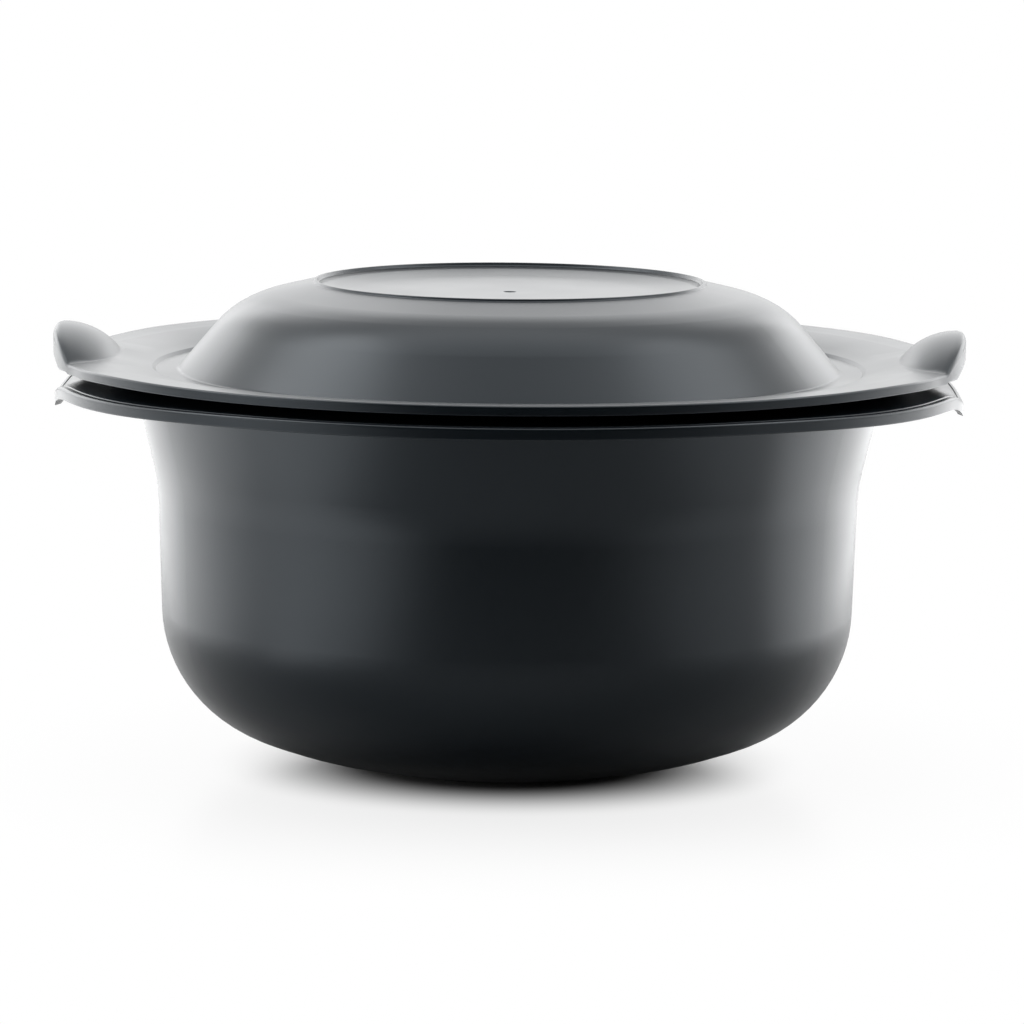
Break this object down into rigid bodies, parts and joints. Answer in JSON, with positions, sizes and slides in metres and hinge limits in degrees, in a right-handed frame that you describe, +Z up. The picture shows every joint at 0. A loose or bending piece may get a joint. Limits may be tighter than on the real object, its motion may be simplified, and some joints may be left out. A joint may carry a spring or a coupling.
{
  "type": "round baking dish",
  "caption": "Deep round dish with a wide downturned rim and grips, and a domed lift-off lid with upturned grips.",
  "frame": {"origin": "on the table, under the middle of the dish's foot", "axes": "+Z up; +X through the middle of one pair of grips; -Y is the side the picture shows"},
  "size_m": [0.338, 0.332, 0.1791],
  "materials": {
    "dish_plastic": "satin moulded",
    "lid_plastic": "satin moulded"
  },
  "bodies": {
    "dish": {"dish": "dish_plastic"},
    "lid": {"lid": "lid_plastic"}
  },
  "joints": [
    {"name": "lid_lift", "type": "slide", "parent": "dish", "child": "lid", "axis": [0, 0, 1], "range_m": [0, 0.2]}
  ]
}
